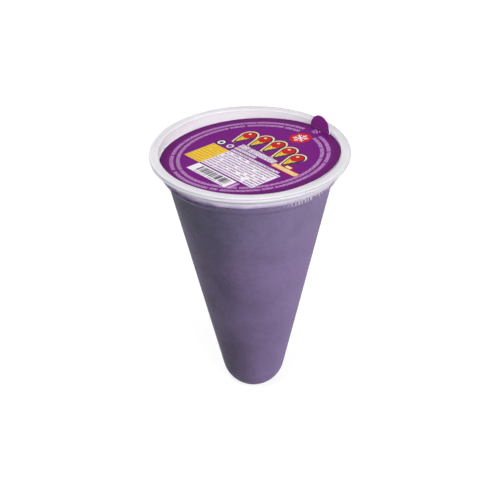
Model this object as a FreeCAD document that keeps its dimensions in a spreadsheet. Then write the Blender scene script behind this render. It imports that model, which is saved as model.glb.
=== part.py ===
"""A frozen cone cup: a thin moulded cup full of ice cream, shut by a card lid with a pull tab.

Everything is turned about +Z, with the origin at the centre of the small flat foot, in millimetres.
Depths are measured down from the top face of the rim, because the lid, the collar and the level
of the ice cream all follow the rim when the cup gets taller.
"""
import FreeCAD, Part
import math
import os
import Sketcher

# ---------------------------------------------------------------- driving sizes

SIZES = {
    # the cup as a whole
    "height": 94.0,
    "wall": 0.6,
    # the rounded tip, which holds a ball in this kind of cup, and the flat it stands on
    "ball_radius": 11.3,
    "foot_radius": 5.4,
    "foot_round": 0.9,
    # the flange that the lips and the stacking tools meet
    "flange_radius": 35.0,
    "flange_width": 3.4,
    "flange_thick": 0.8,
    "flange_round": 0.8,
    "flange_inner_round": 0.35,
    # the skirt turned down from the flange
    "skirt_drop": 1.6,
    "skirt_thick": 0.75,
    "skirt_lean": 0.2,
    # the lip, inside which the lid sits on a ledge
    "lip_wall": 0.75,
    "lip_draft": 0.1,
    "ledge_depth": 4.65,
    "ledge_thick": 0.65,
    "ledge_width": 0.95,
    # the collar below the ledge, and the sloping step in to the cone
    "collar_height": 2.3,
    "collar_draft": 0.2,
    "collar_round": 0.35,
    "step_width": 2.05,
    "step_drop": 2.2,
    # the ice cream, whose level is just below the ledge
    "fill_drop": 0.75,
    "fill_gap": 0.1,
    # the card lid, pressed in lower on one side than on the other
    "lid_gap": 0.18,
    "lid_thick": 0.3,
    "lid_tilt": 3.9,
    "lid_high_side": -40.0,
    "lid_seat_gap": 0.05,
    # its pull tab, folded up along a crease
    "tab_side": 35.5,
    "tab_radius": 5.5,
    "tab_height": 5.0,
    "tab_lean": 6.0,
    "tab_bend": 0.5,
}


class Size:
    """A length with the sheet expression that gives it, so that a formula is written only once."""

    def __init__(self, value, text):
        self.value = value
        self.text = text

    def joined(self, other, sign, value):
        text = other.text if isinstance(other, Size) else str(other)
        return Size(value, f"({self.text} {sign} {text})")

    def __add__(self, other):
        return self.joined(other, "+", self.value + number(other))

    def __sub__(self, other):
        return self.joined(other, "-", self.value - number(other))

    def __mul__(self, other):
        return self.joined(other, "*", self.value * number(other))


def number(size):
    return size.value if isinstance(size, Size) else size


def size(name):
    return Size(SIZES[name], f"Sizes.{name}")


def leg(long_side, short_side):
    """The other leg of a right triangle, from its longest side and one leg."""
    value = math.sqrt(long_side.value ** 2 - short_side.value ** 2)
    return Size(value, f"sqrt({long_side.text} ^ 2 - {short_side.text} ^ 2)")


def sine(angle):
    """The sine of an angle in degrees."""
    return Size(math.sin(math.radians(angle.value)), f"sin({angle.text} * 1deg)")


# ---------------------------------------------------------------- document and sheet

doc = FreeCAD.newDocument("ConeCup")
sheet = doc.addObject("Spreadsheet::Sheet", "Sizes")
for row, (name, value) in enumerate(SIZES.items(), start=1):
    sheet.set(f"A{row}", name)
    sheet.set(f"B{row}", str(value))
    sheet.setAlias(f"B{row}", name)
doc.recompute()

# ---------------------------------------------------------------- sketch helpers

START, END, CENTRE = 1, 2, 3
ORIGIN = (-1, 1)
LEVEL_AXIS = -1
UPRIGHT_AXIS = -2


def new_body(name):
    body = doc.addObject("PartDesign::Body", name)
    body.Label = name
    return body


def new_sketch(body, name, plane):
    """A sketch on one of the body's own origin planes."""
    sketch = body.newObject("Sketcher::SketchObject", name)
    role = next(f for f in body.Origin.OriginFeatures if f.Role == plane)
    sketch.AttachmentSupport = (role, [""])
    sketch.MapMode = "FlatFace"
    return sketch


def bind(sketch, kind, geometry, value):
    """Add a dimension and tie it to the sheet."""
    index = sketch.addConstraint(Sketcher.Constraint(kind, *geometry, value.value))
    sketch.setExpression(f"Constraints[{index}]", value.text)


def place(sketch, line, point, across, up):
    """Hold one end of a line at its two distances from the origin."""
    for kind, distance in (("DistanceX", across), ("DistanceY", up)):
        bind(sketch, kind, (*ORIGIN, line, point), distance)


def add_line(sketch, start, end):
    first = FreeCAD.Vector(start[0], start[1], 0)
    second = FreeCAD.Vector(end[0], end[1], 0)
    return sketch.addGeometry(Part.LineSegment(first, second), False)


def add_arc(sketch, centre, radius, first_angle, last_angle):
    """A counter-clockwise arc between two angles in radians."""
    circle = Part.Circle(FreeCAD.Vector(centre[0], centre[1], 0), FreeCAD.Vector(0, 0, 1), radius)
    return sketch.addGeometry(Part.ArcOfCircle(circle, first_angle, last_angle), False)


def add_path(sketch, corners):
    """Straight lines through corners given as (across, up) pairs of Sizes, each corner held."""
    numbers = [(across.value, up.value) for across, up in corners]
    lines = [add_line(sketch, a, b) for a, b in zip(numbers, numbers[1:])]
    for line, next_line in zip(lines, lines[1:]):
        sketch.addConstraint(Sketcher.Constraint("Coincident", line, END, next_line, START))
    place(sketch, lines[0], START, *corners[0])
    for line, corner in zip(lines, corners[1:]):
        place(sketch, line, END, *corner)
    return lines


def join(sketch, first, first_point, second, second_point):
    sketch.addConstraint(Sketcher.Constraint("Coincident", first, first_point, second, second_point))


# ---------------------------------------------------------------- sizes worked out from the sheet

height = size("height")
wall = size("wall")
ball_centre = leg(size("ball_radius"), size("foot_radius"))
flange_inner = size("flange_radius") - size("flange_width")
lip_inner = flange_inner - size("lip_draft")
ledge_inner = lip_inner - size("ledge_width")
ledge_top = height - size("ledge_depth")
ledge_foot = ledge_top - size("ledge_thick")
step_level = ledge_foot - size("collar_height")
step_foot = step_level - size("step_drop")
collar_top = ledge_inner + wall
collar_foot = collar_top - size("collar_draft")
cone_top = collar_foot - size("step_width")
fill_level = ledge_top - size("fill_drop")


# how far the inside corners of the sloping step lie above the outside ones, in walls
MITRE = 0.5


def cone_slope():
    """Lean of the cone's side: it runs from the foot of the step down to touch the ball-shaped tip."""
    rise = step_foot.value - ball_centre.value
    reach = math.hypot(cone_top.value, rise)
    lean = math.atan2(cone_top.value, rise) - math.asin(SIZES["ball_radius"] / reach)
    return lean


def add_tip(sketch, floor_radius, floor_level, ball, top_radius, top_level):
    """The flat floor, the ball-shaped tip and the cone's side, each running into the next.

    The caller holds the floor's end, the arc's centre and the top of the side. Returns the
    geometry numbers of floor, arc and side.
    """
    lean = cone_slope()
    touch = (ball.value * math.cos(lean), ball_centre.value - ball.value * math.sin(lean))
    floor = add_line(sketch, (0.0, floor_level), (floor_radius, floor_level))
    low_angle = math.atan2(floor_level - ball_centre.value, floor_radius)
    arc = add_arc(sketch, (0.0, ball_centre.value), ball.value, low_angle, -lean)
    side = add_line(sketch, touch, (top_radius, top_level))
    sketch.addConstraint(Sketcher.Constraint("PointOnObject", floor, START, UPRIGHT_AXIS))
    sketch.addConstraint(Sketcher.Constraint("Horizontal", floor))
    join(sketch, floor, END, arc, START)
    bind(sketch, "Radius", (arc,), ball)
    sketch.addConstraint(Sketcher.Constraint("Tangent", arc, END, side, START))
    return floor, arc, side


def ring_edges(feature, rings):
    """Names of the circular edges of a turned feature that lie at the given (radius, level)."""
    names = []
    for index, edge in enumerate(feature.Shape.Edges, start=1):
        if not isinstance(edge.Curve, Part.Circle):
            continue
        radius, level = edge.Curve.Radius, edge.Curve.Center.z
        if any(abs(radius - r.value) < 0.01 and abs(level - z.value) < 0.01 for r, z in rings):
            names.append(f"Edge{index}")
    return names


def round_rings(body, name, base, rings, radius):
    """Fillet the turned edges at the given (radius, level) pairs."""
    names = ring_edges(base, rings)
    if len(names) != len(rings):
        raise RuntimeError(f"{name}: {len(names)} of {len(rings)} edges found")
    fillet = body.newObject("PartDesign::Fillet", name)
    fillet.Base = (base, names)
    fillet.Radius = radius.value
    fillet.setExpression("Radius", radius.text)
    doc.recompute()
    return fillet


# ---------------------------------------------------------------- the cup

def build_cup():
    """The whole wall as one closed section, turned about the axis, then its rim edges rounded."""
    body = new_body("cup")
    sketch = new_sketch(body, "WallSection", "XZ_Plane")

    flange_under = height - size("flange_thick")
    skirt_foot = height - size("skirt_drop")
    skirt_outer = size("flange_radius") - size("skirt_lean")
    lip_outer = flange_inner + size("lip_wall")
    lip_foot_outer = lip_outer - size("lip_draft")

    # outside, from the flat foot up to the step
    floor, arc, side = add_tip(sketch, SIZES["foot_radius"], 0.0, size("ball_radius"),
                               cone_top.value, step_foot.value)
    bind(sketch, "DistanceX", (*ORIGIN, floor, END), size("foot_radius"))
    sketch.addConstraint(Sketcher.Constraint("PointOnObject", floor, END, LEVEL_AXIS))
    sketch.addConstraint(Sketcher.Constraint("PointOnObject", arc, CENTRE, UPRIGHT_AXIS))

    # step, collar, ledge, lip, flange and skirt, then down the inside to the foot of the collar
    inner_step = step_level + wall * MITRE
    inner_step_foot = step_foot + wall * MITRE
    collar_inner = collar_foot - wall
    rim = add_path(sketch, [
        (cone_top, step_foot),
        (collar_foot, step_level),
        (collar_top, ledge_foot),
        (lip_foot_outer, ledge_foot),
        (lip_outer, flange_under),
        (size("flange_radius") - size("skirt_thick"), flange_under),
        (skirt_outer - size("skirt_thick"), skirt_foot),
        (skirt_outer, skirt_foot),
        (size("flange_radius"), height),
        (flange_inner, height),
        (lip_inner, ledge_top),
        (ledge_inner, ledge_top),
        (collar_inner, inner_step),
    ])
    join(sketch, side, END, rim[0], START)

    # inside: a slope in to the cone, the cone parallel to the outside, the tip and the floor
    lean = cone_slope()
    inner_top = cone_top.value + wall.value * (MITRE * math.tan(lean) - 1.0 / math.cos(lean))
    inner_ball = size("ball_radius") - wall
    inner_foot = math.sqrt(inner_ball.value ** 2 - (ball_centre.value - wall.value) ** 2)
    in_floor, in_arc, in_side = add_tip(sketch, inner_foot, wall.value, inner_ball,
                                        inner_top, inner_step_foot.value)
    bind(sketch, "DistanceY", (*ORIGIN, in_floor, END), wall)
    join(sketch, in_arc, CENTRE, arc, CENTRE)
    sketch.addConstraint(Sketcher.Constraint("Parallel", side, in_side))
    slope = add_line(sketch, (collar_inner.value, inner_step.value), (inner_top, inner_step_foot.value))
    join(sketch, rim[-1], END, slope, START)
    join(sketch, slope, END, in_side, END)
    bind(sketch, "DistanceY", (*ORIGIN, in_side, END), inner_step_foot)
    axis = add_line(sketch, (0.0, 0.0), (0.0, wall.value))
    join(sketch, axis, START, floor, START)
    join(sketch, axis, END, in_floor, START)

    turned = body.newObject("PartDesign::Revolution", "TurnedWall")
    turned.Profile = sketch
    turned.ReferenceAxis = (sketch, ["V_Axis"])
    turned.Angle = 360.0
    doc.recompute()

    flange = round_rings(body, "FlangeRound", turned,
                         [(size("flange_radius"), height)], size("flange_round"))
    mouth = round_rings(body, "MouthRound", flange,
                        [(flange_inner, height)], size("flange_inner_round"))
    collar = round_rings(body, "CollarRound", mouth,
                         [(collar_foot, step_level), (lip_foot_outer, ledge_foot)],
                         size("collar_round"))
    round_rings(body, "FootRound", collar,
                [(size("foot_radius"), Size(0.0, "0"))], size("foot_round"))
    return body


# ---------------------------------------------------------------- the ice cream

def build_ice_cream():
    """Frozen to the inside of the cup, up to a level in the collar, a hair clear of the wall."""
    body = new_body("ice_cream")
    sketch = new_sketch(body, "FillSection", "XZ_Plane")
    gap = size("fill_gap")
    lean = cone_slope()

    # construction lines: the outside of the cone, which gives the fill its slope
    outside = add_arc(sketch, (0.0, ball_centre.value), SIZES["ball_radius"], -math.pi / 2, -lean)
    touch = (SIZES["ball_radius"] * math.cos(lean),
             ball_centre.value - SIZES["ball_radius"] * math.sin(lean))
    guide = add_line(sketch, touch, (cone_top.value, step_foot.value))
    sketch.toggleConstruction(outside)
    sketch.toggleConstruction(guide)
    for point in (START, CENTRE):
        sketch.addConstraint(Sketcher.Constraint("PointOnObject", outside, point, UPRIGHT_AXIS))
    bind(sketch, "DistanceY", (*ORIGIN, outside, CENTRE), ball_centre)
    bind(sketch, "Radius", (outside,), size("ball_radius"))
    sketch.addConstraint(Sketcher.Constraint("Tangent", outside, END, guide, START))
    place(sketch, guide, END, cone_top, step_foot)

    # the fill itself
    fill_ball = size("ball_radius") - wall - gap
    fill_floor = wall + gap
    shelf_level = step_level + (wall + gap) * MITRE
    shelf_foot = step_foot + (wall + gap) * MITRE
    fill_foot = math.sqrt(fill_ball.value ** 2 - (ball_centre.value - fill_floor.value) ** 2)
    inset = wall.value + gap.value
    fill_top = cone_top.value + inset * (MITRE * math.tan(lean) - 1.0 / math.cos(lean))
    floor, arc, side = add_tip(sketch, fill_foot, fill_floor.value, fill_ball,
                               fill_top, shelf_foot.value)
    bind(sketch, "DistanceY", (*ORIGIN, floor, END), fill_floor)
    join(sketch, arc, CENTRE, outside, CENTRE)
    sketch.addConstraint(Sketcher.Constraint("Parallel", guide, side))
    fill_collar = collar_foot - wall - gap
    collar = add_path(sketch, [
        (fill_collar, shelf_level),
        (fill_collar, fill_level),
    ])
    slope = add_line(sketch, (fill_top, shelf_foot.value), (fill_collar.value, shelf_level.value))
    join(sketch, slope, START, side, END)
    join(sketch, slope, END, collar[0], START)
    bind(sketch, "DistanceY", (*ORIGIN, side, END), shelf_foot)
    top = add_line(sketch, (fill_collar.value, fill_level.value), (0.0, fill_level.value))
    join(sketch, top, START, collar[0], END)
    sketch.addConstraint(Sketcher.Constraint("Horizontal", top))
    sketch.addConstraint(Sketcher.Constraint("PointOnObject", top, END, UPRIGHT_AXIS))
    axis = add_line(sketch, (0.0, fill_level.value), (0.0, fill_floor.value))
    join(sketch, axis, START, top, END)
    join(sketch, axis, END, floor, START)

    turned = body.newObject("PartDesign::Revolution", "TurnedFill")
    turned.Profile = sketch
    turned.ReferenceAxis = (sketch, ["V_Axis"])
    turned.Angle = 360.0
    doc.recompute()
    return body


# ---------------------------------------------------------------- the lid

def build_lid():
    """A card disc with its printed face at z = 0 and its tab on +X, put in the rim by Placement."""
    body = new_body("lid")
    radius = flange_inner - size("lid_gap")
    thick = size("lid_thick")
    half_tab = size("tab_radius")
    crease = leg(radius, half_tab)

    # the disc, cut straight along the crease
    outline = new_sketch(body, "DiscOutline", "XY_Plane")
    half_angle = math.asin(half_tab.value / radius.value)
    arc = add_arc(outline, (0.0, 0.0), radius.value, half_angle, 2.0 * math.pi - half_angle)
    chord = add_line(outline, (crease.value, -half_tab.value), (crease.value, half_tab.value))
    join(outline, arc, CENTRE, *ORIGIN)
    bind(outline, "Radius", (arc,), radius)
    join(outline, arc, END, chord, START)
    join(outline, chord, END, arc, START)
    outline.addConstraint(Sketcher.Constraint("Vertical", chord))
    bind(outline, "DistanceX", (*ORIGIN, chord, END), crease)
    disc = body.newObject("PartDesign::Pad", "Disc")
    disc.Profile = outline
    disc.setExpression("Length", thick.text)
    disc.Reversed = True
    doc.recompute()

    # the tab's side view: flat, round the bend, then up at its lean
    bend = size("tab_bend")
    outer_bend = bend + thick
    lean = size("tab_lean")
    rise = math.radians(90.0 - lean.value)
    start_x = crease - outer_bend
    centre = (start_x.value, bend.value)
    strip = new_sketch(body, "TabSide", "XZ_Plane")
    overlap = half_tab * 0.4

    def around(radius_):
        return (centre[0] + radius_ * math.sin(rise), centre[1] - radius_ * math.cos(rise))

    inner_low, outer_low = around(bend.value), around(outer_bend.value)
    climb = (SIZES["tab_height"] - inner_low[1]) / math.sin(rise)
    run = (climb * math.cos(rise), climb * math.sin(rise))
    inner_high = (inner_low[0] + run[0], inner_low[1] + run[1])
    outer_high = (outer_low[0] + run[0], outer_low[1] + run[1])
    back = start_x - overlap
    under = add_line(strip, (back.value, -thick.value), (centre[0], -thick.value))
    outer_arc = add_arc(strip, centre, outer_bend.value, -math.pi / 2, rise - math.pi / 2)
    outer_side = add_line(strip, outer_low, outer_high)
    tip = add_line(strip, outer_high, inner_high)
    inner_side = add_line(strip, inner_high, inner_low)
    inner_arc = add_arc(strip, centre, bend.value, -math.pi / 2, rise - math.pi / 2)
    over = add_line(strip, (centre[0], 0.0), (back.value, 0.0))
    heel = add_line(strip, (back.value, 0.0), (back.value, -thick.value))
    strip.addConstraint(Sketcher.Constraint("Tangent", under, END, outer_arc, START))
    strip.addConstraint(Sketcher.Constraint("Tangent", outer_arc, END, outer_side, START))
    join(strip, outer_side, END, tip, START)
    join(strip, tip, END, inner_side, START)
    strip.addConstraint(Sketcher.Constraint("Tangent", inner_side, END, inner_arc, END))
    strip.addConstraint(Sketcher.Constraint("Tangent", inner_arc, START, over, START))
    join(strip, over, END, heel, START)
    join(strip, heel, END, under, START)
    join(strip, outer_arc, CENTRE, inner_arc, CENTRE)
    strip.addConstraint(Sketcher.Constraint("Horizontal", under))
    strip.addConstraint(Sketcher.Constraint("Vertical", heel))
    strip.addConstraint(Sketcher.Constraint("PointOnObject", over, END, -1))
    strip.addConstraint(Sketcher.Constraint("Parallel", inner_side, outer_side))
    strip.addConstraint(Sketcher.Constraint("Perpendicular", tip, outer_side))
    bind(strip, "Radius", (inner_arc,), bend)
    bind(strip, "Radius", (outer_arc,), outer_bend)
    bind(strip, "DistanceX", (*ORIGIN, outer_arc, CENTRE), start_x)
    bind(strip, "DistanceX", (*ORIGIN, over, END), back)
    bind(strip, "DistanceY", (*ORIGIN, inner_side, START), size("tab_height"))
    angle = Size(rise, f"(90 - {lean.text}) * 1deg")
    bind(strip, "Angle", (outer_side,), angle)
    tab = body.newObject("PartDesign::Pad", "Tab")
    tab.Profile = strip
    tab.SideType = "Symmetric"
    tab.setExpression("Length", (half_tab * 2.0).text)
    doc.recompute()

    # round off the tab: what lies outside a circle is cut away along X
    trim = new_sketch(body, "TabRound", "YZ_Plane")
    centre_level = size("tab_height") - half_tab
    half_base = leg(half_tab, centre_level)
    margin = thick * 4.0
    far_side = half_tab + margin
    far_top = size("tab_height") + margin
    base_angle = -math.asin(centre_level.value / half_tab.value)
    curve = add_arc(trim, (0.0, centre_level.value), half_tab.value, base_angle, math.pi - base_angle)
    right_foot = add_line(trim, (half_base.value, 0.0), (far_side.value, 0.0))
    right = add_line(trim, (far_side.value, 0.0), (far_side.value, far_top.value))
    roof = add_line(trim, (far_side.value, far_top.value), (-far_side.value, far_top.value))
    left = add_line(trim, (-far_side.value, far_top.value), (-far_side.value, 0.0))
    left_foot = add_line(trim, (-far_side.value, 0.0), (-half_base.value, 0.0))
    loop = [right_foot, right, roof, left, left_foot]
    for line, next_line in zip(loop, loop[1:]):
        join(trim, line, END, next_line, START)
    join(trim, curve, START, right_foot, START)
    join(trim, curve, END, left_foot, END)
    trim.addConstraint(Sketcher.Constraint("PointOnObject", curve, CENTRE, UPRIGHT_AXIS))
    for line, point in ((right_foot, START), (right_foot, END), (left, END), (left_foot, END)):
        trim.addConstraint(Sketcher.Constraint("PointOnObject", line, point, LEVEL_AXIS))
    for line in (right, left):
        trim.addConstraint(Sketcher.Constraint("Vertical", line))
    trim.addConstraint(Sketcher.Constraint("Symmetric", roof, START, roof, END, UPRIGHT_AXIS))
    bind(trim, "Radius", (curve,), half_tab)
    bind(trim, "DistanceX", (*ORIGIN, right_foot, START), half_base)
    place(trim, right, END, far_side, far_top)
    rounded = body.newObject("PartDesign::Pocket", "RoundedTab")
    rounded.Profile = trim
    rounded.Type = "ThroughAll"
    rounded.SideType = "Symmetric"
    doc.recompute()

    # pressed in until its low side meets the ledge, and tipped towards that side
    tilt = size("lid_tilt")
    high = size("lid_high_side")
    drop_of_low_side = radius * sine(tilt)
    centre_height = ledge_top + size("lid_seat_gap") + thick + drop_of_low_side
    tipped = f"rotation(vector(sin({high.text} * 1deg); -cos({high.text} * 1deg); 0); {tilt.text})"
    turned = f"rotation(vector(0; 0; 1); {size('tab_side').text})"
    body.setExpression("Placement", f"placement(vector(0; 0; {centre_height.text}); {tipped} * {turned})")
    return body


# ---------------------------------------------------------------- build, check and write

def check(bodies):
    """Stop if any object failed or any sub-part is empty or not a valid solid."""
    for item in doc.Objects:
        failed = {"Invalid", "Error"} & set(item.State)
        if failed:
            raise RuntimeError(f"{item.Label}: {failed}")
    for body in bodies:
        if body.Shape.isNull() or not body.Shape.isValid() or len(body.Shape.Solids) != 1:
            raise RuntimeError(f"{body.Label} is not one valid solid")


def write(bodies):
    os.makedirs("parts", exist_ok=True)
    for body in bodies:
        body.Shape.exportStep(f"parts/{body.Label}.step")
        box = body.Shape.BoundBox
        print(f"{body.Label}: {body.Shape.Volume:.1f} mm3, z {box.ZMin:.2f} to {box.ZMax:.2f}")


bodies = [build_cup(), build_ice_cream(), build_lid()]
doc.recompute()
check(bodies)
write(bodies)
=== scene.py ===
# %% [markdown]
# # A frozen cone cup
#
# The object is a tall cup moulded in thin, milky plastic. It is filled with purple ice cream and
# shut by a round printed card whose pull tab is folded up. The imported CAD model brings the cup and
# the lid at their real size. This notebook gives them their finishes, replaces the plain ice cream
# by one that lies against the wall, and sets up a pale studio around them.
#
# The first cell loads that frame and keeps its box. Blender works in metres, and people who make
# cups work in millimetres, so every size below is written in millimetres and multiplied by MM.

# %% Load the frame
import math

import bpy
import numpy as np
from mathutils import Matrix, Vector
from mathutils.bvhtree import BVHTree


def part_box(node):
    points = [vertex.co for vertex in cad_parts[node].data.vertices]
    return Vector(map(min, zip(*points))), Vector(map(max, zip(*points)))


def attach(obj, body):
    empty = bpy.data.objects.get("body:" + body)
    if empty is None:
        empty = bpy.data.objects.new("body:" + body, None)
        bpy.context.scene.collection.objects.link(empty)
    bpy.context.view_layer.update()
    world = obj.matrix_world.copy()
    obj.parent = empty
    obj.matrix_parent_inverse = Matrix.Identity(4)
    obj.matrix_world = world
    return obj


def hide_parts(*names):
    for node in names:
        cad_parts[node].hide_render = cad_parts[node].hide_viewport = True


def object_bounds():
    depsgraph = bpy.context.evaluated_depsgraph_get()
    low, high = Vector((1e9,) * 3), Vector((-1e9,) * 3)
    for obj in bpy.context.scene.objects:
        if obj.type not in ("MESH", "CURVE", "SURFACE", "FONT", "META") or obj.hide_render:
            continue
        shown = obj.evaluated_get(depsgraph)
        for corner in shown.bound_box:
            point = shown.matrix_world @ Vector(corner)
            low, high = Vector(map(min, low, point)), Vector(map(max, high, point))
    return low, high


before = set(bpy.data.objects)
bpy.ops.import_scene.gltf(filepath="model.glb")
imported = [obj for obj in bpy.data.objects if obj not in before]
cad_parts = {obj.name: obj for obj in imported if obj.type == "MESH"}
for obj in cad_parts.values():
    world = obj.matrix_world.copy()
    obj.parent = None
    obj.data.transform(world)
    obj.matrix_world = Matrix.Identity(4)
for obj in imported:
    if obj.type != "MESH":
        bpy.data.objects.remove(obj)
cad_bounds = [list(corner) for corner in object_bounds()]
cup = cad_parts["cup"]
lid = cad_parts["lid"]
MM = 0.001
print("box of the CAD model, in metres:", cad_bounds)

# %% [markdown]
# ## Measuring the frame
#
# A finish that follows the object needs to know where the rim is, how deep the lid sits and which
# way it tips. Those are measured on the CAD meshes instead of being typed in again, so the looks
# move along when a size in the model changes.

# %% Vertices of a mesh
def points_of(item):
    """All vertices of a mesh object as an array with one row x, y, z for each, in metres."""
    flat = np.zeros(len(item.data.vertices) * 3)
    item.data.vertices.foreach_get("co", flat)
    return flat.reshape(-1, 3)


def triangles_of(item):
    """The three corners of every triangle, as three arrays of points."""
    item.data.calc_loop_triangles()
    index = np.zeros(len(item.data.loop_triangles) * 3, dtype=np.int64)
    item.data.loop_triangles.foreach_get("vertices", index)
    corners = points_of(item)[index.reshape(-1, 3)]
    return corners[:, 0], corners[:, 1], corners[:, 2]


_, cup_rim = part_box("cup")
_, fill_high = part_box("ice_cream")
rim_radius = cup_rim.x / MM
rim_height = cup_rim.z / MM
print("rim radius", round(rim_radius, 2), "mm, height", round(rim_height, 2), "mm")

# %% [markdown]
# The lid lies slightly tipped in the rim. Its widest triangle that looks up gives the plane of the
# printed side, and the cup's axis meets that plane at the lid's centre. The tab is everything that
# stands more than a millimetre above the plane, and the way to it is "up" for the print.

# %% The lid's own axes
def unit(vector):
    return vector / np.linalg.norm(vector)


first, second, third = triangles_of(lid)
facing = np.cross(second - first, third - first)
widest = np.argmax(np.linalg.norm(facing, axis=1) * (facing[:, 2] > 0.0))
lid_up = unit(facing[widest])
lid_centre = np.array([0.0, 0.0, first[widest] @ lid_up / lid_up[2]])
from_centre = points_of(lid) - lid_centre
tab_points = from_centre[from_centre @ lid_up > 1.0 * MM]
tab_middle = (tab_points.min(axis=0) + tab_points.max(axis=0)) / 2.0
lid_ahead = unit(tab_middle - (tab_middle @ lid_up) * lid_up)
lid_right = np.cross(lid_ahead, lid_up)
lid_axes = Matrix((lid_right, lid_ahead, lid_up)).transposed()
print("lid tipped by", round(math.degrees(math.acos(lid_up[2])), 2), "degrees")

# %% [markdown]
# ## Shader maths as formulas
#
# A node tree is hard to read as code, because each sum or product is a node and two links. The
# small class below wraps one output socket. Adding, multiplying or dividing it adds the Math
# nodes, so a pattern reads like the formula that it is. Colours and vectors don't go through it,
# because a Math node would turn a colour grey.

# %% A value that varies over a surface
class Field:
    """An output socket with arithmetic: each operator adds one Math node and returns its output."""

    def __init__(self, tree, socket):
        self.tree = tree
        self.socket = socket

    def apply(self, operation, *values):
        """Add the Math node of that name and give back its output."""
        settings = {"operation": operation}
        return self.tree.node("ShaderNodeMath", settings, dict(enumerate(values)))

    def __add__(self, other):
        return self.apply("ADD", self, other)

    def __sub__(self, other):
        return self.apply("SUBTRACT", self, other)

    def __rsub__(self, other):
        return self.apply("SUBTRACT", other, self)

    def __mul__(self, other):
        return self.apply("MULTIPLY", self, other)

    def __truediv__(self, other):
        return self.apply("DIVIDE", self, other)

    def __abs__(self):
        return self.apply("ABSOLUTE", self)

    def __neg__(self):
        return self.apply("MULTIPLY", self, -1.0)

    __radd__ = __add__
    __rmul__ = __mul__

    def hypot(self, other):
        """The length of the arrow with these two parts."""
        squares = self * self + other * other
        return squares.apply("SQRT", squares)

    def round(self):
        return self.apply("ROUND", self)

    def least(self, other):
        """The smaller of two values, such as a union of two distances."""
        return self.apply("MINIMUM", self, other)

    def most(self, other):
        """The larger of two values, such as either of two masks."""
        return self.apply("MAXIMUM", self, other)

    def wrap(self, low, high):
        """Bring the value into the range by adding or taking away whole ranges."""
        return self.apply("WRAP", self, high, low)

    def rise(self, low, high, start=0.0, end=1.0):
        """A smooth step: start up to low, end from high on."""
        settings = {"interpolation_type": "SMOOTHSTEP"}
        inputs = {"Value": self, "From Min": low, "From Max": high, "To Min": start, "To Max": end}
        return self.tree.node("ShaderNodeMapRange", settings, inputs)

    def under(self, limit, soft):
        """1 where the value is under the limit, 0 over it, and a soft edge between."""
        return self.rise(limit - soft / 2.0, limit + soft / 2.0, 1.0, 0.0)


# %% [markdown]
# Every other node comes from one method. It takes the node's type, then its settings, then what
# goes into its sockets. The methods below it are names for the few nodes that are used often.

# %% A tree that adds nodes
class Tree:
    """A node tree of a material or the world."""

    def __init__(self, owner):
        owner.use_nodes = True
        self.owner = owner
        self.nodes = owner.node_tree.nodes
        self.links = owner.node_tree.links
        self.nodes.clear()

    def node(self, kind, settings=None, inputs=None, output=0):
        """Add a node, set it up, feed its sockets, and return one of its outputs."""
        made = self.nodes.new(kind)
        for name, value in (settings or {}).items():
            setattr(made, name, value)
        for socket, value in (inputs or {}).items():
            if isinstance(value, Field):
                self.links.new(value.socket, made.inputs[socket])
            else:
                made.inputs[socket].default_value = value
        return Field(self, made.outputs[output] if made.outputs else None)

    def place(self, output="Object"):
        """Where a point lies on its own object, in metres, or the way it faces, as "Normal"."""
        return self.node("ShaderNodeTexCoord", output=output)

    def split(self, vector):
        """The three parts of a vector."""
        parts = self.node("ShaderNodeSeparateXYZ", None, {0: vector}).socket.node.outputs
        return [Field(self, part) for part in parts]

    def join(self, x, y, z):
        return self.node("ShaderNodeCombineXYZ", None, {0: x, 1: y, 2: z})

    def along(self, vector, direction):
        """How far a vector reaches along a fixed direction: their dot product."""
        settings = {"operation": "DOT_PRODUCT"}
        inputs = {0: vector, 1: Vector(direction)}
        return self.node("ShaderNodeVectorMath", settings, inputs, "Value")

    def noise(self, vector, scale, detail=2.0):
        """Smooth noise from 0 to 1: scale lumps in each unit of the vector."""
        inputs = {"Vector": vector, "Scale": scale, "Detail": detail}
        return self.node("ShaderNodeTexNoise", None, inputs)

    def mix(self, factor, first, second):
        """The first colour where the factor is 0, the second where it is 1."""
        settings = {"data_type": "RGBA"}
        return self.node("ShaderNodeMix", settings, {0: factor, 6: first, 7: second}, output=2)

    def finish(self, surface, kind="ShaderNodeOutputMaterial"):
        """Lead a shader to the tree's end."""
        self.node(kind, None, {0: surface})


# %% A finish with one Principled shader
class Finish(Tree):
    """A material. Values that are the same all over are given as keywords."""

    def __init__(self, name, **uniform):
        super().__init__(bpy.data.materials.new(name))
        inputs = {socket.replace("_", " "): value for socket, value in uniform.items()}
        surface = self.node("ShaderNodeBsdfPrincipled", None, inputs)
        self.shader = surface.socket.node
        self.finish(surface)

    def feed(self, socket, field):
        """Let one of the shader's values change over the surface."""
        self.links.new(field.socket, self.shader.inputs[socket])

    def relief(self, height, depth, strength=1.0):
        """Bend the light as a relief would: height runs from 0 to 1, depth is its real size."""
        inputs = {"Height": height, "Distance": depth, "Strength": strength}
        self.feed("Normal", self.node("ShaderNodeBump", None, inputs))

    def dress(self, item):
        """Put the finish on a CAD node's own slot, or give a new piece its first one."""
        if item.material_slots:
            item.material_slots[0].material = self.owner
        else:
            item.data.materials.append(self.owner)


# %% [markdown]
# Colours are written as they look on a screen, from 0 to 255, because that is how they are picked
# and compared. Blender calculates with the amount of light instead, so each goes through the
# screen's curve once.

# %% Colours
def colour(red, green, blue):
    """Screen values 0 to 255 turned into amounts of light."""
    parts = np.array([red, green, blue]) / 255.0
    light = np.where(parts <= 0.04045, parts / 12.92, ((parts + 0.055) / 1.055) ** 2.4)
    return (*light.tolist(), 1.0)


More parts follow.
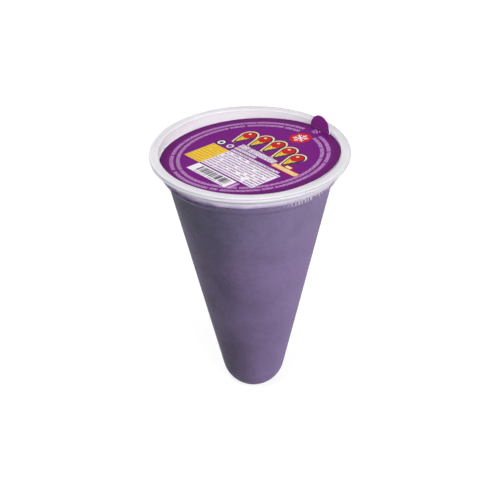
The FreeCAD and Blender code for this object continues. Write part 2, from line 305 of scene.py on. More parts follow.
# %% [markdown]
# ## The ice cream
#
# The mix is poured in and frozen, so it lies against the wall everywhere. A gap, however thin,
# would show through the milky plastic as a pale shell. The new piece therefore reaches into the
# wall's thickness. It stops a tenth of a millimetre short of the outside, so that a thin clear skin
# is left and the cup's outline stays full.
#
# It is a lathe shape: a profile carried round the axis. The profile is felt from the inside. Rays
# leave the axis and stop at the wall: in the round tip they fan out from one point like the spokes
# of a wheel, and above it they go straight out, level by level.

# %% Feel the wall from the inside
corners = np.stack(triangles_of(cup), axis=1)
wall = BVHTree.FromPolygons(corners.reshape(-1, 3).tolist(),
                            np.arange(len(corners) * 3).reshape(-1, 3).tolist())
INTO_WALL = 0.5 * MM
STEP_ZONE = 5.2 * MM
FAN_LEVEL = 12.0 * MM
SPOKES = 30
CONE_LEVELS = 70
STEP_LEVELS = 54

fan = np.radians(np.linspace(3.0, 88.0, SPOKES))
step_level = fill_high.z - STEP_ZONE
cone_levels = np.linspace(FAN_LEVEL, step_level, CONE_LEVELS)
step_levels = np.linspace(step_level, fill_high.z, STEP_LEVELS)[1:]
levels = np.concatenate([cone_levels, step_levels])
starts = np.concatenate([np.full(SPOKES, FAN_LEVEL), levels])
spokes = np.stack([np.sin(fan), -np.cos(fan)], axis=-1)
ways = np.concatenate([spokes, np.tile([1.0, 0.0], (len(levels), 1))])
felt = [wall.ray_cast(Vector((0.0, 0.0, start)), Vector((out, 0.0, down)))[3]
        for start, (out, down) in zip(starts, ways)]
reach = np.array(felt) + INTO_WALL
profile_radius = ways[:, 0] * reach
profile_level = starts + ways[:, 1] * reach
print("wall felt at", len(felt), "levels, widest", round(profile_radius.max() / MM, 2), "mm")

# %% [markdown]
# The top isn't flat. While it was filled, the mix crept up the collar's wall in places, and the
# surface froze in low swells. The creep is a sum of a few waves round the axis, with phases drawn
# once from a seeded generator, so it is the same each time. Only the last rows of the side follow
# it, and it dies out towards the middle of the top.

# %% Uneven top
def waves_round(angle, counts, seed):
    """A smooth curve round the axis, from -1 to 1: the sum of sines with drawn phases."""
    phases = np.random.default_rng(seed).uniform(0.0, 2.0 * math.pi, len(counts))
    shares = np.array(counts) ** -0.5
    total = np.sin(np.outer(angle, counts) + phases) @ shares
    return total / shares.sum()


COLUMNS = 240
CREEP = 0.55 * MM
CREEP_ZONE = 1.6 * MM
SWELL = 0.3 * MM
TOP_ROWS = 26
BY_THE_EDGE, BY_THE_AXIS = 0.985, 0.03

turn = np.arange(COLUMNS) * 2.0 * math.pi / COLUMNS
waves_each_turn = [2, 3, 5, 9, 14, 23, 37]
creep = CREEP * (0.2 + waves_round(turn, waves_each_turn, seed=4))
near_top = np.clip((profile_level - fill_high.z) / CREEP_ZONE + 1.0, 0.0, 1.0)
side_level = profile_level[:, None] + near_top[:, None] * creep[None, :]
side_radius = np.repeat(profile_radius[:, None], COLUMNS, axis=1)
inward = np.linspace(BY_THE_EDGE, BY_THE_AXIS, TOP_ROWS)[:, None]
swell = SWELL * np.cos(3.0 * turn + 1.0)[None, :] * (1.0 - inward)
top_level = fill_high.z + creep[None, :] * np.clip(inward * 4.0 - 3.0, 0.0, 1.0) + swell * inward
top_radius = profile_radius[-1] * inward * np.ones(COLUMNS)[None, :]
lowest, highest = side_level[-1].min() / MM, side_level[-1].max() / MM
print("top edge between", round(lowest, 2), "and", round(highest, 2), "mm")

# %% [markdown]
# Blender's Screw modifier would turn a drawn profile into such a body. Here every column round the
# axis has its own height near the top, so the points are worked out directly, as two grids of
# radius and height, and handed to the mesh at once.

# %% Lathe
def lathe(name, radius, level):
    """Two grids make a closed turned surface.

    Point (i, j) lies radius[i, j] from the axis and level[i, j] high, at j equal steps round it.
    Quads join neighbouring points, and a fan round one point on the axis closes each end.
    """
    rows, columns = radius.shape
    angle = np.arange(columns) * 2.0 * math.pi / columns
    grid = np.stack([radius * np.cos(angle), radius * np.sin(angle), level], axis=-1)
    poles = np.array([[0.0, 0.0, level[0].mean()], [0.0, 0.0, level[-1].mean()]])
    here = np.arange(rows * columns).reshape(rows, columns)
    beside = np.roll(here, -1, axis=1)
    quads = np.stack([here[:-1], beside[:-1], beside[1:], here[1:]], axis=-1).reshape(-1, 4)
    low = np.full(columns, rows * columns)
    foot = np.stack([low, beside[0], here[0]], axis=-1)
    head = np.stack([low + 1, here[-1], beside[-1]], axis=-1)
    mesh = bpy.data.meshes.new(name)
    points = np.vstack([grid.reshape(-1, 3), poles]).tolist()
    mesh.from_pydata(points, [], quads.tolist() + foot.tolist() + head.tolist())
    mesh.polygons.foreach_set("use_smooth", np.ones(len(mesh.polygons), dtype=bool))
    item = bpy.data.objects.new(name, mesh)
    bpy.context.scene.collection.objects.link(item)
    return item


radius = np.vstack([side_radius, top_radius])
ice_cream = lathe("ice_cream_fill", radius, np.vstack([side_level, top_level]))
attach(ice_cream, "root")
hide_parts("ice_cream")
print("ice cream faces", len(ice_cream.data.polygons))

# %% [markdown]
# Frozen mix is dull and a little icy. Its colour is never even: soft clouds of paler and deeper
# purple come from the way it was stirred, and fine ice crystals give a grain. One noise texture at
# two scales gives both, since neither has a pattern that the eye could follow.
#
# This cup is a good deal paler on its right, where the lamp falls, than on its left. That light and
# shade is painted in: a slow change round the axis is added to the clouds. The unseen back takes the
# middle of the range, and the mix turns a little cooler towards the rim. All three are choices for
# this cup.

# %% Tone of the ice cream
TONE_BEHIND = 0.55

frozen = Finish("frozen_mix", Roughness=0.6, Specular_IOR_Level=0.25)
spot = frozen.place()
to_right, to_back, height = (part / MM for part in frozen.split(spot))
from_middle = to_right.hypot(to_back)
towards_lamp = (to_right - to_back * 0.2) / from_middle
behind = (to_back / from_middle).rise(0.05, 0.7)
clouds = frozen.noise(spot, 60.0, 3.0)
crystals = frozen.noise(spot, 1100.0, 2.0)
grain = clouds.rise(0.3, 0.7) * 0.7 + crystals.rise(0.35, 0.65) * 0.3
# painted light and shade: paler towards the lit right, darker on the left
painted_light_round_axis = towards_lamp.rise(-0.7, 1.0) + towards_lamp.rise(0.75, 1.0) * 0.2
tone = (painted_light_round_axis + (TONE_BEHIND - painted_light_round_axis) * behind) * 0.7 + grain * 0.3

# %% Colour of the ice cream
DEEP_PLUM, PALE_PLUM = colour(34, 31, 46), colour(131, 111, 154)
DEEP_COOL, PALE_COOL = colour(25, 32, 44), colour(130, 115, 154)
COOLER_FROM, COOLEST_AT = 52.0, 82.0

plum_mix = frozen.mix(tone, DEEP_PLUM, PALE_PLUM)
cool_mix = frozen.mix(tone, DEEP_COOL, PALE_COOL)
cooler = height.rise(COOLER_FROM, COOLEST_AT)
frozen.feed("Base Color", frozen.mix(cooler, plum_mix, cool_mix))
frozen.relief(clouds * 0.6 + crystals * 0.4, 0.15 * MM)
frozen.dress(ice_cream)
print("nodes in the ice cream's finish", len(frozen.nodes))

# %% [markdown]
# ## The cup's plastic
#
# Thin polypropylene is milky. Against the ice cream it takes on the colour behind it, and where
# air lies behind it, at the flange and the lip, it turns white. A true volume inside a wall this
# thin would render slowly and would not survive an export. The wall gets an alpha instead, low on
# the cone and high on the rim. Light also spreads under its surface, about two millimetres far,
# which makes the thin rim glow.
#
# The bands of the rim are told by two numbers: the depth under the rim's top and the distance from
# the axis. Everything that wanders is a noise stretched along the height, so that it changes round
# the axis and hardly from top to bottom.

# %% Coordinates on the wall
plastic = Finish("milky_plastic", Specular_IOR_Level=0.35, Subsurface_Weight=1.0,
                 Subsurface_Scale=2.0 * MM, Subsurface_Radius=(1.0, 1.0, 1.0))
spot = plastic.place()
x, y, z = (part / MM for part in plastic.split(spot))
depth = rim_height - z
from_axis = x.hypot(y)
azimuth = y.apply("ARCTAN2", y, x) * (180.0 / math.pi)
to_left = -x / from_axis

STRETCH = 0.08
haze = plastic.noise(spot, 40.0, 3.0)
skin = plastic.noise(spot, 900.0, 2.0)
blotch = plastic.noise(plastic.join(x, y, z * 3.0), 0.35, 2.0)
wander = plastic.noise(plastic.join(x, y, z * STRETCH), 0.22, 3.0)
hair = plastic.noise(plastic.join(x, y, z * STRETCH), 1.3, 2.0)

# %% [markdown]
# The white lip doesn't end in a clean line. Its end lies a little above the collar, wanders round
# the axis, and climbs at both sides, where the filling shows higher up. From there the white fades
# through lilac towards the collar's foot. Smears of mix break it, and a fine pale line, a painted
# highlight on the bend, marks the foot itself, where the wall bends inwards.

# %% From the lip to the foot of the collar
COLLAR_TOP = 5.3
COLLAR_FOOT = 7.6
ABOVE_COLLAR = 0.82
BODY_ALPHA = 0.075
LILAC_ALPHA = 0.78
WHITE_ALPHA = 0.84


def blend(low, high, share):
    """Low where the share is 0, high where it is 1."""
    return low + (high - low) * share


at_left = to_left.rise(0.2, 0.95) * 0.9 + to_left.rise(0.85, 1.0) * 0.8
at_right = (-to_left).rise(0.78, 0.97) * 1.6
lip_end = COLLAR_TOP - ABOVE_COLLAR - at_left - at_right + (wander - 0.5) * 1.2
below_end = depth - lip_end
fading = (below_end / (COLLAR_FOOT - 0.2 - lip_end)).rise(0.0, 1.0, 1.0, 0.14)
smears = blotch.rise(0.50, 0.54) * below_end.rise(0.3, 1.2)
# painted highlight: a fine pale line along the bend at the collar's foot
foot_highlight = abs(depth - COLLAR_FOOT + 0.1).under(0.12, 0.12)

body = BODY_ALPHA * (0.6 + haze * 0.8)
collar = (LILAC_ALPHA * fading * (1.0 - smears * 0.8)).most(foot_highlight * 0.36)
below_collar = blend(body, collar, depth.under(COLLAR_FOOT + 0.1, 0.2))
below_lip = blend(below_collar, WHITE_ALPHA, below_end.under(-0.3, 1.0))
print("collar from", COLLAR_TOP, "to", COLLAR_FOOT, "mm under the rim's top")

# %% [markdown]
# On the right, frost hangs from the lip in fine streaks. As geometry they would be thinner than the
# wall's facets, so they are drawn in the alpha. They follow the waves of a sine round the axis,
# which turns on by WAVE_PER_DEGREE radians for each degree. Noise shifts the waves and gives each
# streak its own length.

# %% Frost and alpha
FROST_ALPHA = 0.66
FROST_FROM, FROST_TO = -68.0, -24.0
WAVE_PER_DEGREE = 2.5

frosty = azimuth.rise(FROST_FROM - 10.0, FROST_FROM + 10.0)
frosty = frosty * azimuth.rise(FROST_TO - 6.0, FROST_TO + 6.0, 1.0, 0.0)
comb_turn = azimuth * WAVE_PER_DEGREE + wander * 9.0
comb = comb_turn.apply("SINE", comb_turn)
frost_end = COLLAR_FOOT - 1.8 + (hair + comb * 0.14).rise(0.36, 0.62, -1.5, 1.6)
frost = frosty * (depth - frost_end).under(0.0, 0.8)
plastic.feed("Alpha", below_lip.most(frost * FROST_ALPHA))
print("streaks every", round(2.0 * math.pi / WAVE_PER_DEGREE, 2), "degrees")

# %% [markdown]
# The flange turns down into the skirt, and in that corner the plastic is thickest. The corner is
# painted greyer than the land beside it and the skirt below it, as painted shade, and less so at the
# far right, where a lamp shines along it. The lip under the skirt stands against the purple filling
# and takes a lilac tint from it, and a painted shadow of the skirt darkens the lip in a band just
# under it.

# %% Bands of the rim
FLANGE_EDGE = rim_radius - 0.3
LIP_MIDDLE = rim_radius - 2.9
CORNER_DEPTH = 0.45
SKIRT_SHADOW_DEPTH = 3.2

outer = from_axis.rise(FLANGE_EDGE - 0.1, FLANGE_EDGE + 0.1)
# painted shade in the corner between flange and skirt, weaker where a lamp shines along it
less_where_lit = to_left.rise(-0.96, -0.6, 0.25, 1.0)
corner = outer * abs(depth - CORNER_DEPTH).under(0.28, 0.2) * less_where_lit
skirt = outer * depth.rise(0.7, 0.9)
outside = from_axis.rise(LIP_MIDDLE - 0.1, LIP_MIDDLE + 0.1)
inside = depth.rise(0.6, 1.2) * (1.0 - outside)
outside_lip = depth.rise(2.2, 2.8) * outside
# painted shadow: a darker band on the lip just under the skirt's overhang
skirt_shadow = abs(depth - SKIRT_SHADOW_DEPTH).under(0.3, 0.3) * outside_lip
lilac_part = outside_lip.most(depth.rise(COLLAR_TOP - 0.5, COLLAR_TOP))
print("skirt outside", round(FLANGE_EDGE, 2), "mm, lip outside", round(LIP_MIDDLE, 2), "mm")

# %% Colour and surface of the wall
THIN_MILK, THICK_MILK = colour(226, 222, 230), colour(234, 231, 238)
PALE_LILAC, DEEP_LILAC = colour(236, 225, 250), colour(170, 148, 200)
SKIRT_PAINTED_GLOW = colour(249, 247, 254)
INSIDE_PAINTED_GLOW = colour(246, 243, 247)
FROST_WHITE = colour(226, 216, 234)
SKIRT_SHADOW_GREY = colour(150, 144, 176)
CORNER_SHADE_GREY = colour(186, 184, 196)

lilac = plastic.mix(below_end.rise(-0.6, 1.0), PALE_LILAC, DEEP_LILAC)
milk = plastic.mix(haze.rise(0.3, 0.7), THIN_MILK, THICK_MILK)
# painted light: the skirt is painted whiter, as if light glowing through the plastic lit it like the
# flange's top
milk = plastic.mix(skirt, milk, SKIRT_PAINTED_GLOW)
# painted light: the inner wall is painted whiter, as if lit by light glowing through the thin
# plastic
milk = plastic.mix(inside, milk, INSIDE_PAINTED_GLOW)
milk = plastic.mix(lilac_part, milk, lilac)
milk = plastic.mix(frost * depth.rise(4.2, 5.0), milk, FROST_WHITE)
milk = plastic.mix(skirt_shadow * 0.5, milk, SKIRT_SHADOW_GREY)
# the corner's painted shade goes on last
plastic.feed("Base Color", plastic.mix(corner, milk, CORNER_SHADE_GREY))
plastic.feed("Roughness", 0.36 + haze * 0.16)
plastic.relief(haze * 0.7 + skin * 0.3, 0.12 * MM, 0.5)
plastic.dress(cup)
print("nodes in the cup's finish", len(plastic.nodes))

# %% [markdown]
# ## The printed card
#
# The lid is a disc of coated card, printed on its upper side in flat inks. An image is the usual
# way to print on a surface. This print is nothing but fields of colour, so each field is a formula
# instead: it stays sharp from close by, and nothing has to be unwrapped. The formulas work on two
# coordinates in millimetres: right, and ahead towards the tab. A Mapping node brings the object's
# coordinates into the lid's own plane, and the layout sits on the card with a slight turn, as it
# does on cheap lids.

# %% Coordinates on the card
card = Finish("printed_card", Specular_IOR_Level=0.02)
spot = card.place()
inputs = {"Vector": spot, "Location": Vector(lid_centre), "Rotation": lid_axes.to_euler()}
on_card = card.node("ShaderNodeMapping", {"vector_type": "TEXTURE"}, inputs)
across, along, above = (part / MM for part in card.split(on_card))
PRINT_TURN = math.radians(1.8)
right = across * math.cos(PRINT_TURN) + along * math.sin(PRINT_TURN)
ahead = along * math.cos(PRINT_TURN) - across * math.sin(PRINT_TURN)
out = across.hypot(along)
bearing = across.apply("ARCTAN2", across, along)
EDGE = 0.09


# %% Shapes and inks
def block(left, end, low, high):
    """1 inside a rectangle of the print: from left to end, and from low to high."""
    inside = abs(right - (left + end) / 2.0).under((end - left) / 2.0, EDGE)
    return inside * abs(ahead - (low + high) / 2.0).under((high - low) / 2.0, EDGE)


def spot_at(centre_right, centre_ahead, radius):
    """1 inside a round spot."""
    return (right - centre_right).hypot(ahead - centre_ahead).under(radius, EDGE)


def paint(base, mask, ink):
    """Lay an ink over what is printed already."""
    return card.mix(mask, base, ink)


PURPLE = colour(116, 27, 123)
PLUM = colour(99, 26, 101)
TAB_PAINTED_LIGHT_PURPLE = colour(123, 41, 126)
LILAC = colour(208, 168, 212)
PAPER = colour(240, 233, 242)
YELLOW = colour(234, 200, 66)
CREAM = colour(240, 222, 160)
RED = colour(198, 36, 40)
NAVY = colour(34, 36, 84)
BLACK = colour(38, 36, 44)

# %% [markdown]
# Small print is drawn as rows of dashes, without any letters. Noise along the row, cut at a level,
# gives dashes and gaps of uneven length, and a finer noise breaks the ink inside each dash, as
# print this small is broken. No two rows are alike, because each reads another line of the noise:
# the seed moves a block of rows to lines that no other block uses.

# %% Rows of dashes
ROW_STEP = 7.3


def dashes(distance, row, length, cut=0.40):
    """1 on dashes about as long as given, in the row with that number; a high cut leaves gaps."""
    line = card.noise(card.join(distance / length, row * ROW_STEP, 0.0), 1.0, 1.0)
    return line.rise(cut - 0.03, cut + 0.03)


broken = card.noise(card.join(right, ahead, 0.0), 2.4, 2.0).rise(0.40, 0.56, 0.15, 1.0)


def small_print(area, seed, rows=1, length=2.6, share=0.9, cut=0.40):
    """Evenly spaced rows of dashes that fill a rectangle; share is a row's ink over its pitch."""
    _, _, low, high = area
    pitch = (high - low) / rows
    place = (ahead - low) / pitch - 0.5
    number = place.round()
    in_row = abs(place - number).under(share / 2.0, EDGE / pitch)
    return block(*area) * in_row * dashes(right, number + seed, length, cut) * broken


# %% [markdown]
# The ground is purple, with a redder, darker band round the edge. The folded tab is painted a little
# paler, as painted light, so that it looks as bright as the lid under these lamps. Two rings of
# small print run between the band and the middle and leave a gap at the tab.

# %% Ground and rings
RING_MIDDLE = 24.95
RING_PITCH = 2.3
RING_INK = 1.3
TAB_GAP = math.radians(9.0), math.radians(10.0)
EDGE_BAND = 28.3, 29.2

ring = (out - RING_MIDDLE) / RING_PITCH
ring_number = ring.round()
in_ring = abs(ring - ring_number).under(RING_INK / RING_PITCH / 2.0, EDGE / RING_PITCH)
two_rings = abs(ring - 0.5).under(1.0, EDGE / RING_PITCH)
open_at_tab = abs(bearing).rise(*TAB_GAP)
arc = bearing * RING_MIDDLE
ring_marks = in_ring * two_rings * open_at_tab * dashes(arc, ring_number, 2.0, 0.36) * broken

ink = card.mix(out.rise(*EDGE_BAND), PURPLE, PLUM)
# painted light: the folded tab gets a paler purple
ink = card.mix(above.rise(0.3, 0.8), ink, TAB_PAINTED_LIGHT_PURPLE)
ink = paint(ink, ring_marks * 0.75, LILAC)
print("rings at", RING_MIDDLE, "and", RING_MIDDLE + RING_PITCH, "mm from the middle")

# %% [markdown]
# ## Panels
#
# The lower half of the lid carries the panels that such lids have: a yellow one and a white one
# with small print, and a white strip with bars. The bars are a noise along one line, cut at a
# level, so they hold no number. Above the panels run a few loose lines, with a cream strip at their
# right and two round marks at their left.
#
# Each area is written as its left and right ends and its lower and upper sides, in millimetres.

# %% Yellow and white panels
YELLOW_PANEL = (-17.4, -8.4, -15.5, -2.65)
YELLOW_TEXT = (-17.1, -8.7, -15.3, -2.8)
WHITE_PANEL = (-8.3, 20.4, -14.95, -2.65)
WHITE_TEXT = (-8.0, 20.1, -14.8, -2.8)

yellow_rows = small_print(YELLOW_TEXT, seed=20.0, rows=9, length=4.0, share=0.42, cut=0.38)
white_rows = small_print(WHITE_TEXT, seed=40.0, rows=9, length=3.0, share=0.58, cut=0.39)
ink = paint(ink, block(*YELLOW_PANEL), YELLOW)
ink = paint(ink, yellow_rows * 0.6, RED)
ink = paint(ink, block(*WHITE_PANEL), PAPER)
ink = paint(ink, white_rows * 0.9, PURPLE)

# %% Strip with bars
STRIP = (-8.3, 13.3, -21.1, -15.75)
BARS = (-5.0, 11.5, -19.7, -16.4)
UNDER_BARS = (-5.0, 11.5, -20.8, -20.0)
BESIDE_STRIP = (14.0, 15.3, -20.6, -16.0)

bars = card.noise(card.join(right, 0.0, 0.0), 1.5, 1.0).rise(0.45, 0.49)
ink = paint(ink, block(*STRIP), PAPER)
ink = paint(ink, block(*BARS) * bars * 0.9, BLACK)
ink = paint(ink, small_print(UNDER_BARS, seed=60.0, length=1.4, share=0.8) * 0.7, BLACK)
ink = paint(ink, block(*BESIDE_STRIP) * dashes(ahead, 70.0, 1.6) * 0.8, LILAC)

# %% Loose lines
TALL_LINE = (-8.9, 10.6, 1.3, 4.2)
SHORT_LINE = (-8.8, 2.9, -0.4, 1.1)
LONG_LINE = (-8.4, 18.0, -2.2, -0.9)

ink = paint(ink, small_print(TALL_LINE, seed=80.0, length=3.0), PAPER)
ink = paint(ink, small_print(SHORT_LINE, seed=90.0), PAPER)
ink = paint(ink, small_print(LONG_LINE, seed=100.0), PAPER)

# %% Cream strip
CREAM_STRIP = (11.2, 23.9, 0.5, 2.5)
CREAM_TAG = (15.6, 18.4, 3.0, 4.2)
RED_BEHIND_STRIP = (10.9, 24.2, 0.1, 2.9)
RED_BEHIND_TAG = (15.2, 18.8, 2.8, 4.6)

ink = paint(ink, block(*RED_BEHIND_STRIP), RED)
ink = paint(ink, block(*RED_BEHIND_TAG), RED)
ink = paint(ink, block(*CREAM_STRIP) * (0.35 + broken * 0.65), CREAM)
ink = paint(ink, block(*CREAM_TAG), CREAM)

# %% Two round marks
DARK_MARK = (-16.0, -0.3)
PALE_MARK = (-11.2, -0.1)

ink = paint(ink, spot_at(*DARK_MARK, 2.0), BLACK)
ink = paint(ink, spot_at(*DARK_MARK, 1.45), PAPER)
ink = paint(ink, spot_at(*DARK_MARK, 0.75), BLACK)
ink = paint(ink, spot_at(*PALE_MARK, 1.4) * (1.0 - spot_at(*PALE_MARK, 0.75)) * 0.8, PAPER)

# %% [markdown]
# ## A row of cones
#
# The middle of the lid shows what is inside: five small cones with a scoop each, on a shallow
# arch. Only one is drawn. Wrapping the coordinate across the print repeats it, and each copy is
# lowered by the square of its number, which makes the arch.
#
# The shape is a distance: negative inside, positive outside, in millimetres. A union is the
# smaller of two distances, and comparing the distance with a growing limit gives outlines.

# %% Where each cone stands
CONES = 5
CONE_PITCH = 6.7
ARCH_MIDDLE = 0.2
ARCH_TOP = 10.3
ARCH_DROP = 0.55

from_arch = right - ARCH_MIDDLE
sideways = from_arch.wrap(-CONE_PITCH / 2.0, CONE_PITCH / 2.0)
copy_number = (from_arch - sideways) / CONE_PITCH
upward = ahead - ARCH_TOP + copy_number * copy_number * ARCH_DROP
in_row = abs(from_arch).under(CONES / 2.0 * CONE_PITCH, EDGE)
print("cones across", CONES * CONE_PITCH, "mm")

# %% One cone
SCOOP_RADIUS = 2.35
SCOOP_UP = 1.9
WAFER_MOUTH = 1.0
WAFER_TIP = -4.3
WAFER_SLANT = 0.36
SQUARE_TO_SLANT = 0.94
NARROW_AT, NARROW_HALF = -4.0, 0.3


def scoop(s, t):
    """Distance to the ball of ice cream: the way to its middle, less its radius."""
    return s.hypot(t - SCOOP_UP) - SCOOP_RADIUS


def wafer(s, t):
    """Distance to the wafer: beside its slanting sides, above its mouth or below its tip.

    A side leaves the half width NARROW_HALF at height NARROW_AT and widens by WAFER_SLANT. Its
    distance is a level one first. SQUARE_TO_SLANT, which is 1 over the length of the arrow
    (1, WAFER_SLANT), makes it the shorter one that is square to the slant.
    """
    beside = (abs(s) - (t - NARROW_AT) * WAFER_SLANT - NARROW_HALF) * SQUARE_TO_SLANT
    return beside.most(t - WAFER_MOUTH).most(WAFER_TIP - t)


def cone(s, t):
    """Distance to the nearer of the two."""
    return scoop(s, t).least(wafer(s, t))


# %% Inks of the cones
CREAM_LINE = 1.1
NAVY_LINE = 0.5
SHADOW_RIGHT, SHADOW_DOWN = 0.45, 0.5
LATTICE_PITCH, LATTICE_LINE = 1.5, 0.16

whole = cone(sideways, upward)
shadow = cone(sideways - SHADOW_RIGHT, upward + SHADOW_DOWN)
ink = paint(ink, whole.under(CREAM_LINE, EDGE) * in_row, CREAM)
ink = paint(ink, shadow.least(whole).under(NAVY_LINE, EDGE) * in_row, NAVY)
ink = paint(ink, wafer(sideways, upward).under(0.0, EDGE) * in_row, YELLOW)
slanting = (sideways + upward * 0.7).wrap(-LATTICE_PITCH / 2.0, LATTICE_PITCH / 2.0)
lattice = abs(slanting).under(LATTICE_LINE, EDGE)
ink = paint(ink, wafer(sideways, upward).under(-0.1, EDGE) * in_row * lattice * 0.8, RED)
ink = paint(ink, scoop(sideways, upward).under(0.0, EDGE) * in_row, RED)
shine = (sideways + 0.8).hypot(upward - 2.8).under(0.55, EDGE)
ink = paint(ink, shine * in_row, CREAM)

# %% [markdown]
# Near the tab sits a red spot with a snow star, which says that the cup is kept frozen, and two
# small chevrons point at the tab. The star has six arms because its bearing is wrapped to a sixth
# of a turn, so only one arm has to be drawn, with one pair of twigs. The chevrons come from the
# same trick: one bent line, wrapped along the print.

# %% Snow star
STAR = (1.4, 21.3)
SPOT_RADIUS = 4.0
ARM_LENGTH, ARM_HALF = 2.9, 0.22
TWIG_ROOT, TWIG_TOP = 1.3, 2.3
TWIG_REACH, TWIG_HALF = 0.95, 0.2
SIXTH = math.pi / 3.0

star_right, star_ahead = right - STAR[0], ahead - STAR[1]
star_out = star_right.hypot(star_ahead)
turned = star_right.apply("ARCTAN2", star_right, star_ahead).wrap(-SIXTH / 2.0, SIXTH / 2.0)
up_arm = star_out * turned.apply("COSINE", turned)
off_arm = abs(star_out * turned.apply("SINE", turned))
arm = off_arm.under(ARM_HALF, EDGE) * star_out.under(ARM_LENGTH, EDGE)
twig_line = abs(off_arm - (up_arm - TWIG_ROOT) * 0.9).under(TWIG_HALF, EDGE)
twig = twig_line * up_arm.under(TWIG_TOP, EDGE) * off_arm.under(TWIG_REACH, EDGE)
ink = paint(ink, spot_at(*STAR, SPOT_RADIUS), RED)
ink = paint(ink, arm.most(twig), PAPER)

# %% Chevrons
CHEVRON_MIDDLE, CHEVRON_TOP = 1.2, 28.9
CHEVRON_PITCH, CHEVRON_LINE = 1.2, 0.26
CHEVRON_REACH = 1.5
CHEVRON_AREA = (-0.5, 3.0, 27.2, 29.6)

beside = abs(right - CHEVRON_MIDDLE)
bent = ahead - CHEVRON_TOP + beside * 0.7
chevron = abs(bent.wrap(-CHEVRON_PITCH / 2.0, CHEVRON_PITCH / 2.0))
chevrons = chevron.under(CHEVRON_LINE, EDGE) * beside.under(CHEVRON_REACH, EDGE)
ink = paint(ink, chevrons * block(*CHEVRON_AREA) * 0.8, LILAC)
print("nodes in the lid's finish", len(card.nodes))

# %% [markdown]
# Only the upper side is printed, and the side of the tab that was the upper side before it was
# folded. Both are told by the direction in which the surface faces. The edge and the underside
# show the bare, whitish card. The fibres and a slow unevenness of the board bend the light a
# little.

# %% Printed sides
GREYER_CARD, WHITER_CARD = colour(230, 226, 234), colour(244, 240, 248)

facing = card.place("Normal")
upper_side = card.along(facing, lid_up).rise(0.4, 0.6)
folded_side = card.along(facing, -lid_ahead).rise(0.4, 0.6) * above.rise(0.1, 0.3)
fibre = card.noise(spot, 500.0, 3.0)
bare = card.mix(fibre, GREYER_CARD, WHITER_CARD)
card.feed("Base Color", card.mix(upper_side.most(folded_side), bare, ink))
card.feed("Roughness", 0.36 + card.noise(spot, 60.0) * 0.14)
card.relief(fibre * 0.4 + card.noise(spot, 45.0) * 0.6, 0.25 * MM, 0.35)
card.dress(lid)

# %% [markdown]
# ## Studio
#
# The floor is a plain pale sheet. It catches the cup's shadow, yet it should look white to the
# edge of the picture. Turning the lamps up would burn out the cup. Instead the sheet glows a
# little, but only for rays that come straight from the camera, from a reflection or through the
# plastic, so the glow lights nothing. Far from the cup, where no shadow falls and the lamps are
# weak, the glow rises to full white, so that no horizon shows from low down.

# %% Rays that see the studio
def seen_by(tree):
    """1 for rays from the camera, from a reflection or through a clear surface, else 0."""
    rays = tree.node("ShaderNodeLightPath").socket.node.outputs
    camera_ray, glossy, through = (Field(tree, rays[f"Is {kind} Ray"])
                                   for kind in ("Camera", "Glossy", "Transmission"))
    return camera_ray.most(glossy).most(through)


# %% Floor
FLOOR_HALF = 3.0
FLOOR_GREY = (0.42, 0.42, 0.42, 1.0)
NEAR_GLOW = (0.72, 0.72, 0.72, 1.0)
FULL_WHITE = (1.0, 1.0, 1.0, 1.0)
WHITE_FROM, WHITE_AT = 0.3, 1.05

level = cad_bounds[0][2]
span = FLOOR_HALF * np.array([[-1, -1], [1, -1], [1, 1], [-1, 1]])
floor_mesh = bpy.data.meshes.new("studio_floor")
floor_mesh.from_pydata(np.column_stack([span, np.full(4, level)]).tolist(), [], [(0, 1, 2, 3)])
floor = bpy.data.objects.new("studio_floor", floor_mesh)
bpy.context.scene.collection.objects.link(floor)

sheet = Tree(bpy.data.materials.new("studio_sheet"))
matt = sheet.node("ShaderNodeBsdfDiffuse", None, {"Color": FLOOR_GREY})
away_x, away_y, _ = sheet.split(sheet.place())
far_off = away_x.hypot(away_y).rise(WHITE_FROM, WHITE_AT)
glow_tint = sheet.mix(far_off, NEAR_GLOW, FULL_WHITE)
glow = sheet.node("ShaderNodeEmission", None, {"Color": glow_tint})
bright = sheet.node("ShaderNodeAddShader", None, {0: matt, 1: glow})
sheet.finish(sheet.node("ShaderNodeMixShader", None, {0: seen_by(sheet), 1: matt, 2: bright}))
floor_mesh.materials.append(sheet.owner)
print("floor at", round(level, 5), "m")

# %% [markdown]
# The air is white where it is seen and dim where it gives light. Four soft round lamps do the rest.
# The strongest stands low in front on the right and shapes the cone, one hangs high on the left and
# lights the lid, and a faint one keeps the left side from going dark. The last stands behind and
# very low, where it lights the cup's back and hardly touches the printed lid.

# %% Air
AIR_LIGHT = 0.3
air = Tree(bpy.data.worlds.new("studio_air"))
bpy.context.scene.world = air.owner
strength = AIR_LIGHT + (1.0 - AIR_LIGHT) * seen_by(air)
white_air = air.node("ShaderNodeBackground", None, {"Color": FULL_WHITE, "Strength": strength})
air.finish(white_air, "ShaderNodeOutputWorld")


# %% Lamps
LAMP_DISTANCE = 0.9


def soft_lamp(name, azimuth, elevation, size, watts):
    """A round lamp aimed at the cup's middle; azimuth 0 is the camera's side, 90 its right."""
    data = bpy.data.lights.new(name, "AREA")
    data.shape = "DISK"
    data.size = size
    data.energy = watts
    lamp = bpy.data.objects.new(name, data)
    turn, climb = math.radians(azimuth), math.radians(elevation)
    level_way = Vector((math.sin(turn), -math.cos(turn), 0.0)) * math.cos(climb)
    way = level_way + Vector((0.0, 0.0, math.sin(climb)))
    lamp.location = Vector((0.0, 0.0, cup_rim.z / 2.0)) + way * LAMP_DISTANCE
    lamp.rotation_euler = way.to_track_quat("Z", "Y").to_euler()
    bpy.context.scene.collection.objects.link(lamp)
    print(name, "at", [round(part, 2) for part in lamp.location])


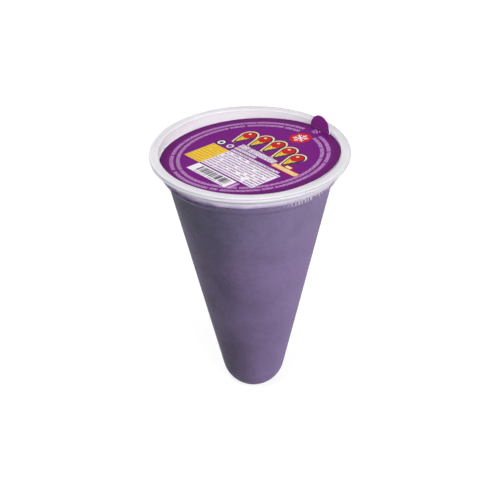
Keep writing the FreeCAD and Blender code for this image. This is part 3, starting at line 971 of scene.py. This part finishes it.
soft_lamp("front_right", azimuth=32.0, elevation=26.0, size=0.45, watts=6.4)
soft_lamp("top_left", azimuth=-40.0, elevation=64.0, size=0.5, watts=2.9)
soft_lamp("far_left", azimuth=-64.0, elevation=24.0, size=0.5, watts=1.4)
soft_lamp("far_back", azimuth=-140.0, elevation=8.0, size=0.5, watts=3.4)

# %% [markdown]
# ## Camera
#
# The camera looks down at the cup from the front with a longish lens, as product pictures are
# taken, and it is held very slightly crooked. Its place is given by the point it circles, the
# distance and the elevation. The aim then moves a little, so that the cup sits in the frame with
# air above it, and no lens shift is needed. The frame is FRAME units wide, and the focal length and
# the two moves of the aim are given in the same units.

# %% Camera
DISTANCE = 0.70
ELEVATION = math.radians(31.03)
ROLL = math.radians(1.1)
FRAME = 500.0
FOCAL = 1960.7
AIM_LEFT = 2.0
AIM_UP = 18.4
CIRCLED_HEIGHT = 46.4
SENSOR = 36.0


def camera_axes(backward):
    """The camera's right, up and backward, rolled clockwise."""
    level_right = Vector((0.0, 0.0, 1.0)).cross(backward).normalized()
    level_up = backward.cross(level_right)
    rolled_right = level_right * math.cos(ROLL) - level_up * math.sin(ROLL)
    return rolled_right, level_right * math.sin(ROLL) + level_up * math.cos(ROLL), backward


circled = Vector((0.0, 0.0, CIRCLED_HEIGHT * MM))
backward = Vector((0.0, -math.cos(ELEVATION), math.sin(ELEVATION)))
eye = circled + backward * DISTANCE
frame_right, frame_up, _ = camera_axes(backward)
aim = circled + (frame_up * AIM_UP - frame_right * AIM_LEFT) * (DISTANCE / FOCAL)
axes = Matrix(camera_axes((eye - aim).normalized())).transposed()

lens = bpy.data.cameras.new("camera")
lens.sensor_width = SENSOR
lens.lens = FOCAL / FRAME * SENSOR
camera = bpy.data.objects.new("camera", lens)
camera.matrix_world = Matrix.Translation(eye) @ axes.to_4x4()
bpy.context.scene.collection.objects.link(camera)
bpy.context.scene.camera = camera
bpy.context.scene.view_settings.view_transform = "Standard"
print("camera at", [round(part, 3) for part in eye], "lens", round(lens.lens, 1), "mm")
